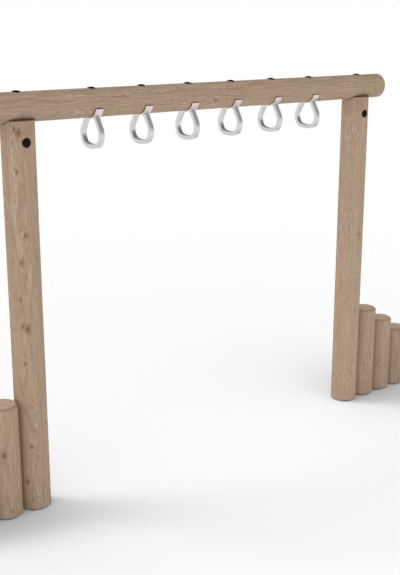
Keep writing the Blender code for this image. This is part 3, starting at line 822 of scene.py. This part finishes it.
# Hand rings
# Each is a bar of blasted stainless steel, bent cold to a drop shape. Both of its ends are welded
# to a strap that hugs the beam from below, with a threaded boss for the bolt from above.
BAR_THICKNESS = 0.022
BAR_WIDTH = 0.025
BAR_CORNER = 0.0024
RING_DROP = 0.150
RING_BOTTOM = (0.180, radians(12.5))
RING_CORNER = (0.048, radians(44))
RING_SHOULDER_RADIUS = 0.060
LIMB_LEAN = radians(30.5)
STRAP_THICKNESS = 0.006
STRAP_CORNER = 0.0012
BEND_STEP = radians(3.5)
LIMB_STEPS = 6
BOSS_RADIUS = 0.011
BOSS_HEIGHT = 0.030
BEAD_RADIUS = 0.0028
BEAD_STEP = 0.0018
BEAD_RIPPLES = 30
BEAD_RIPPLE_DEPTH = 0.14
BEAD_ROUNDNESS = 2
WELDED_WITHIN = 1e-6

# Where the steel is marked or painted: heights from the beam's axis, and for the painted
# reflection on the strap, past the strap.
STRAP_REFLECTION_REACH = (0.001, 0.006)
GRIP_RUBBED = (-0.215, -0.165)
INNER_SHADE_HEIGHTS = (-0.170, -0.140)
RING_MIDDLE = (0, 0, -0.130)
STEEL_DULL = painted(214, 214, 216)
STEEL_BRIGHT = painted(224, 224, 225)
# A painted reflection of the timber on the strap.
STEEL_PAINTED_REFLECTION = painted(252, 222, 206)
STEEL_LOW_GREY = painted(200, 200, 202)
# Painted shade inside the ring, cool against the timber's reflection.
STEEL_PAINTED_SHADE = painted(144, 155, 168)

strap_inner = beam_radius + FIT_GAP
strap_outer = strap_inner + STRAP_THICKNESS


def rounded_bar(width, thickness, corner, inset=0.0):
    """The outline of a flat bar's section, as (across, outwards) points, with rounded corners."""
    points = []
    for quarter, (across, outwards) in enumerate(((1, 1), (-1, 1), (-1, -1), (1, -1))):
        middle = Vector(((width / 2 - corner) * across, (thickness / 2 - corner) * outwards))
        for step in range(4):
            turn = radians(90 * quarter + 30 * step)
            points.append(middle + Vector((cos(turn), sin(turn))) * (corner - inset))
    return points


def swept(name, stations, outline, end_outline):
    """A bar with that section, along (y, z, heading) stations; its two ends take the end outline."""
    form = bmesh.new()
    rows = []
    for index, (y, z, heading) in enumerate(stations):
        at_end = index in (0, len(stations) - 1)
        section = end_outline if at_end else outline
        rows.append(
            [form.verts.new((p.x, y + p.y * sin(heading), z - p.y * cos(heading))) for p in section]
        )
    for row, following in zip(rows, rows[1:]):
        for index in range(len(row)):
            after = (index + 1) % len(row)
            form.faces.new((row[index], following[index], following[after], row[after]))
    form.faces.new(rows[0])
    form.faces.new(reversed(rows[-1]))
    bmesh.ops.recalc_face_normals(form, faces=form.faces)
    return shown(name, meshed(name, form))


def half_ring():
    """The bar's centreline from its lowest point up into the beam, as (y, z, heading) stations."""
    y, z, heading = 0.0, -beam_radius - RING_DROP + BAR_THICKNESS / 2, 0.0
    shoulder = (RING_SHOULDER_RADIUS, pi / 2 + LIMB_LEAN - RING_BOTTOM[1] - RING_CORNER[1])
    stations = [(y, z, heading)]
    for radius, angle in (RING_BOTTOM, RING_CORNER, shoulder):
        steps = round(angle / BEND_STEP)
        for _ in range(steps):
            onward = heading + angle / steps
            y += radius * (sin(onward) - sin(heading))
            z += radius * (cos(heading) - cos(onward))
            heading = onward
            stations.append((y, z, heading))
    run = (-beam_radius * cos(STRAP_HALF_ANGLE) - z) / sin(heading)
    for step in range(1, LIMB_STEPS + 1):
        along = run * step / LIMB_STEPS
        stations.append((y + along * cos(heading), z + along * sin(heading), heading))
    widest = max(station[0] for station in stations)
    share = (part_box("hand_ring_1")[1].y - BAR_THICKNESS / 2) / widest
    return [(y * share, z, heading) for y, z, heading in stations]


def weld_bead(name, side):
    """The rippled bead round one end of the bar, where it meets the strap."""
    y, z, heading = half_ring()[-LIMB_STEPS - 1]
    outline = rounded_bar(BAR_WIDTH, BAR_THICKNESS, BAR_CORNER)
    corners = []
    for p, q in zip(outline, outline[1:] + outline[:1]):
        pieces = max(1, round((q - p).length / BEAD_STEP))
        corners += [p.lerp(q, step / pieces) for step in range(pieces)]
    curve = bpy.data.curves.new(name, "CURVE")
    curve.dimensions = "3D"
    curve.bevel_depth = BEAD_RADIUS
    curve.bevel_resolution = BEAD_ROUNDNESS
    spline = curve.splines.new("POLY")
    spline.points.add(len(corners) - 1)
    spline.use_cyclic_u = True
    for index, (point, corner) in enumerate(zip(spline.points, corners)):
        start = Vector((y + corner.y * sin(heading), z - corner.y * cos(heading)))
        onward = Vector((cos(heading), sin(heading)))
        near = start.dot(onward)
        reach = -near - sqrt(near * near - start.length_squared + strap_outer * strap_outer)
        met = start + onward * reach
        ripple = sin(tau * BEAD_RIPPLES * index / len(corners))
        point.co = (corner.x, met.x * side, met.y, 1)
        point.radius = 1 + BEAD_RIPPLE_DEPTH * ripple
    return shown(name, curve)


def as_mesh(curve_object):
    """The same object with its curve turned into a welded mesh."""
    bpy.context.view_layer.update()
    graph = bpy.context.evaluated_depsgraph_get()
    mesh = bpy.data.meshes.new_from_object(curve_object.evaluated_get(graph))
    name = curve_object.name
    bpy.data.objects.remove(curve_object)
    form = bmesh.new()
    form.from_mesh(mesh)
    bmesh.ops.remove_doubles(form, verts=form.verts, dist=WELDED_WITHIN)
    bmesh.ops.recalc_face_normals(form, faces=form.faces)
    form.to_mesh(mesh)
    form.free()
    return shown(name, mesh)


def ring_steel():
    """Blasted stainless steel: fine-grained all over, and rubbed smoother where hands hang on."""
    material, steel, shader = finish_named("blasted_stainless")
    place = steel.node("TexCoord", output="Object")
    _, side, height = place.axes()
    grit = steel.node("TexNoise", sockets={"Vector": place, "Scale": 1500.0, "Detail": 2.0})
    cloud = steel.node("TexNoise", sockets={"Vector": place, "Scale": 38.0, "Detail": 3.0})
    handled = height.fade(*GRIP_RUBBED, 1, 0)
    from_axis = (side * side + height * height) ** 0.5
    strap_reflection = from_axis.fade(strap_outer + STRAP_REFLECTION_REACH[0], strap_outer + STRAP_REFLECTION_REACH[1], 1, 0)
    inwards = steel.node("VectorMath", {"operation": "SUBTRACT"}, {0: RING_MIDDLE, 1: place})
    face = steel.node("TexCoord", output="Normal")
    inner = steel.node("VectorMath", {"operation": "DOT_PRODUCT"}, {0: inwards, 1: face}, "Value")
    # Painted shade on the ring's inner faces low down, tinted cool against the timber's brown reflection.
    inner_shade = inner.fade(0.0, 0.040) * height.fade(*INNER_SHADE_HEIGHTS, 1, 0)
    colour = cloud.mix(STEEL_DULL, STEEL_BRIGHT)
    # A painted reflection of the timber: the strap and the bar's ends near it are painted pale pink.
    colour = (strap_reflection * 0.42).mix(colour, STEEL_PAINTED_REFLECTION)
    # The colour is darker towards the bottom of the ring.
    colour = (handled * 0.60).mix(colour, STEEL_LOW_GREY)
    colour = (inner_shade * 0.52).mix(colour, STEEL_PAINTED_SHADE)
    colour.into(shader["Base Color"])
    shader["Metallic"].default_value = 1.0
    (0.26 + cloud * 0.10 + grit * 0.05 - handled * 0.07).into(shader["Roughness"])
    relief = grit + cloud * 0.4
    bump = relief.node("Bump", sockets={"Height": relief, "Strength": 0.20, "Distance": 0.00015})
    bump.into(shader["Normal"])
    return material


def ring_form():
    """One hand ring about the beam's axis, welded up from bar, strap and boss."""
    right = half_ring()
    left = [(-y, z, -heading) for y, z, heading in reversed(right[1:])]
    section = rounded_bar(BAR_WIDTH, BAR_THICKNESS, BAR_CORNER)
    ring = swept("hand_ring", left + right, section, section)
    middle = (strap_inner + strap_outer) / 2
    inside = stepped_hole("inside_strap", [(middle, -BAR_WIDTH, BAR_WIDTH)], TIMBER_FACETS)
    inside.rotation_euler.y = pi / 2
    carved(ring, [inside])
    count = round(2 * STRAP_HALF_ANGLE / BEND_STEP)
    angles = [STRAP_HALF_ANGLE * (2 * index / count - 1) for index in range(count + 1)]
    tip = STRAP_CORNER / middle
    angles = [angles[0], angles[0] + tip, *angles[1:-1], angles[-1] - tip, angles[-1]]
    arc = [(middle * sin(angle), -middle * cos(angle), angle) for angle in angles]
    flat = rounded_bar(STRAP_WIDTH, STRAP_THICKNESS, STRAP_CORNER)
    flat_end = rounded_bar(STRAP_WIDTH, STRAP_THICKNESS, STRAP_CORNER, STRAP_CORNER * 0.7)
    strap = swept("strap", arc, flat, flat_end)
    beads = [as_mesh(weld_bead(f"bead_{side}", side)) for side in (-1, 1)]
    boss = stepped_hole("boss", [(BOSS_RADIUS, -middle, -beam_radius + BOSS_HEIGHT)])
    carved(ring, [strap, boss, *beads], "UNION")
    bore = stepped_hole("boss_bore", [(BOLT_HOLE_RADIUS, -strap_outer - HOLE_OVERRUN, 0)])
    carved(ring, [bore])
    form = ring.data
    bpy.data.objects.remove(ring)
    return form


ring_shape = ring_form()
steel = ring_steel()
for number, place in zip(ring_numbers, ring_places):
    ring = shown(f"hand_ring_{number}_steel", ring_shape)
    ring.location = (place, 0, beam_height)
    dressed(ring, steel, "ring_steel", f"hand_ring_{number}")


# Bolts, washers, cross nuts and coach screws
# Bought hardware, zinc plated, that the covers and plugs hide. It is seen only when the frame is
# taken apart.
ZINC_DULL = painted(176, 179, 184)
ZINC_BRIGHT = painted(208, 210, 214)


def zinc_plate():
    """Zinc plating, with its faint spangle and a dull bloom."""
    material, zinc, shader = finish_named("zinc_plating")
    place = zinc.node("TexCoord", output="Object")
    spangle = zinc.node("TexVoronoi", sockets={"Vector": place, "Scale": 420.0}, output="Color")
    flake, _, _ = spangle.axes()
    bloom = zinc.node("TexNoise", sockets={"Vector": place, "Scale": 90.0, "Detail": 3.0})
    (bloom * 0.6 + flake * 0.4).mix(ZINC_DULL, ZINC_BRIGHT).into(shader["Base Color"])
    shader["Metallic"].default_value = 1.0
    (0.30 + bloom * 0.20 + flake * 0.06).into(shader["Roughness"])
    bump = bloom.node("Bump", sockets={"Height": flake, "Strength": 0.10, "Distance": 0.0001})
    bump.into(shader["Normal"])
    return material


zinc = zinc_plate()
for name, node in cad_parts.items():
    if name.endswith(("_bolt", "_washer", "_cross_nut")) or name.startswith("step_screw"):
        finished(node, zinc)


# Covers and plugs
# Black moulded nylon. A cover is a cup under the bolt's head and a domed lid that snaps into it,
# flush with its seat in the beam; a plug is the same lid, pressed into a pocket in a post or log.
LID_FACETS = 64
LID_RIM_HEIGHT = 0.0015
LID_EDGE = 0.0005
LID_DOME_STEPS = 10
LID_SPIGOT_RADIUS = 0.0122
LID_SPIGOT_DEPTH = 0.004
LID_PROUD = 0.006
PLUG_PROUD = 0.0065
PLUG_SPIGOT_DEPTH = 0.012
STEP_PLUG_SPIGOT_RADIUS = 0.0132
NYLON_BLACK = painted(24, 14, 9)
NYLON_SCUFFED = painted(60, 46, 38)


def black_nylon():
    """Black nylon with the fine spark grain of its mould and a few pale scuffs on the crown."""
    material, nylon, shader = finish_named("black_nylon")
    place = nylon.node("TexCoord", output="Object")
    grain = nylon.node("TexNoise", sockets={"Vector": place, "Scale": 1800.0, "Detail": 2.0})
    dust = nylon.node("TexNoise", sockets={"Vector": place, "Scale": 120.0, "Detail": 4.0})
    scuffs = dust.fade(0.56, 0.74)
    (scuffs * 0.7).mix(NYLON_BLACK, NYLON_SCUFFED).into(shader["Base Color"])
    shader["Specular IOR Level"].default_value = 0.12
    (0.62 + dust * 0.18 + scuffs * 0.10).into(shader["Roughness"])
    bump = grain.node("Bump", sockets={"Height": grain, "Strength": 0.25, "Distance": 0.0001})
    bump.into(shader["Normal"])
    return material


def lid_form(name, seat, crown, spigot, spigot_foot):
    """A domed lid along local Z, whose flange lies at the seat's height."""
    rim = seat + LID_RIM_HEIGHT
    corners = [(0, spigot_foot), (spigot, spigot_foot), (spigot, seat), (COVER_RADIUS, seat)]
    outline = eased(corners + [(COVER_RADIUS, rim)], LID_EDGE)
    turns = [pi / 2 * step / LID_DOME_STEPS for step in range(1, LID_DOME_STEPS + 1)]
    outline += [(COVER_RADIUS * cos(turn), rim + (crown - rim) * sin(turn)) for turn in turns]
    return lathed(name, outline, LID_FACETS)


def plug_form(name, timber_radius, spigot):
    """A plug's lid, about the axis of the round timber that it is pressed into."""
    seat = timber_radius - PLUG_SEAT_DEPTH + FIT_GAP
    return lid_form(name, seat, timber_radius + PLUG_PROUD, spigot, timber_radius - PLUG_SPIGOT_DEPTH)


nylon = black_nylon()
for name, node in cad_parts.items():
    if name.endswith("_cover_cup"):
        finished(node, nylon)

lid_seat = beam_radius - COVER_SEAT_DEPTH + FIT_GAP
lid_shape = lid_form(
    "cover_lid", lid_seat, beam_radius + LID_PROUD, LID_SPIGOT_RADIUS, lid_seat - LID_SPIGOT_DEPTH
)
lid_places = {f"ring_{number}": place for number, place in zip(ring_numbers, ring_places)}
lid_places |= {f"post_{side}": place for side, place in post_places.items()}
for name, place in lid_places.items():
    lid = shown(f"{name}_lid", lid_shape)
    lid.location = (place, 0, beam_height)
    dressed(lid, nylon, "black_nylon", f"{name}_cover_lid")

post_plug_shape = plug_form("post_plug", post_radius, CROSS_NUT_HOLE_RADIUS - FIT_GAP)
for side, place in post_places.items():
    plug = shown(f"post_{side}_plug_cap", post_plug_shape)
    plug.location = (place, 0, cross_nut_height)
    plug.rotation_euler.x = pi / 2
    dressed(plug, nylon, "black_nylon", f"post_{side}_plug")


# Step logs
# Three logs stand beside each post, each lower than the one before. A coach screw through a pocket
# holds every log to its neighbour; only the last pocket of a row shows, and a plug closes it.
STEP_COUNT = 3
STEP_CHAMFER = 0.012
SCREW_HEIGHTS = (0.300, 0.180)
SCREW_POCKET_RADIUS = 0.0142
SCREW_POCKET_DEPTH = 0.060
SCREW_LENGTH = 0.150
SCREW_HOLE_RADIUS = 0.0053
LOG_HEART_OFF = 0.030
LOG_HEART_TURNS = 47
LOG_SEED_STEP = 13
LOG_KNOTS = 2

step_low, step_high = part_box("step_log_left_1")
step_radius = (step_high.x - step_low.x) / 2
log_seeds = {"left": 100.0, "right": 300.0}
log_heart_bearings = {"left": 200, "right": 90}
# The right-hand logs' sawn ends are set less pale: painted shade on their tops.
log_end_pale_and_shade = {"left": 0.80, "right": 0.44}
seen_knots = {("left", 1): [(0.349, -118, 0.012), (0.05, -100, 0.006)]}


def log_painted_shade(x, y, z):
    """Painted shade on a step log, at its foot."""
    return foot_shade(z) * PAINTED_SHADE_DARKENS


def screw_height(index):
    """How high the coach screw of a log lies; neighbours take turns, so that no two screws meet."""
    return SCREW_HEIGHTS[(index - 1) % len(SCREW_HEIGHTS)]


def screw_hole(place, outwards, index):
    """The cutter for the coach screw of one log, with a plug's seat if it is the last of its row."""
    seat = step_radius - SCREW_POCKET_DEPTH
    mouth = step_radius - PLUG_SEAT_DEPTH
    outside = step_radius + HOLE_OVERRUN
    steps = [(SCREW_HOLE_RADIUS, seat - SCREW_LENGTH - FIT_GAP, seat)]
    if index == STEP_COUNT:
        steps += [(SCREW_POCKET_RADIUS, seat, mouth), (COVER_HOLE_RADIUS, mouth, outside)]
    else:
        steps += [(SCREW_POCKET_RADIUS, seat, outside)]
    hole = stepped_hole("screw_hole", steps, WIDE_HOLE_FACETS)
    hole.location = (place, 0, screw_height(index))
    hole.rotation_euler.y = outwards * pi / 2
    return hole


step_plug_shape = plug_form("step_plug", step_radius, STEP_PLUG_SPIGOT_RADIUS)
for side, outwards in SIDES.items():
    for index in range(1, STEP_COUNT + 1):
        low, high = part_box(f"step_log_{side}_{index}")
        middle = (high.x + low.x) / 2
        seed = log_seeds[side] + LOG_SEED_STEP * index
        name = f"step_log_{side}_{index}_timber"
        log = round_timber(name, step_radius, high.z, STEP_CHAMFER, STEP_CHAMFER, seed)
        log.location.x = middle
        holes = [screw_hole(middle, outwards, index)]
        bounce_sides = [(-outwards, high.z)]
        if index < STEP_COUNT:
            neighbour = middle + outwards * (2 * step_radius + FIT_GAP)
            holes.append(screw_hole(neighbour, outwards, index + 1))
            bounce_sides.append((outwards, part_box(f"step_log_{side}_{index + 1}")[1].z))
        carved(log, holes)
        bearing = radians(LOG_HEART_TURNS * index + log_heart_bearings[side])
        if (side, index) in seen_knots:
            knots = knots_on(step_radius, seen_knots[side, index])
        else:
            knots = scattered_knots(step_radius, high.z, LOG_KNOTS, int(seed))
        wood = timber_finish(
            f"pine_step_{side}_{index}",
            (LOG_HEART_OFF * cos(bearing), LOG_HEART_OFF * sin(bearing)),
            knots,
            seed,
            log_painted_shade,
            bounce_sides,
            end_pale_and_shade=log_end_pale_and_shade[side],
        )
        dressed(log, wood, "timber", f"step_log_{side}_{index}")

    plug = shown(f"step_{side}_plug_cap", step_plug_shape)
    plug.location = (middle, 0, screw_height(STEP_COUNT))
    plug.rotation_euler.y = outwards * pi / 2
    dressed(plug, nylon, "black_nylon", f"step_plug_{side}")
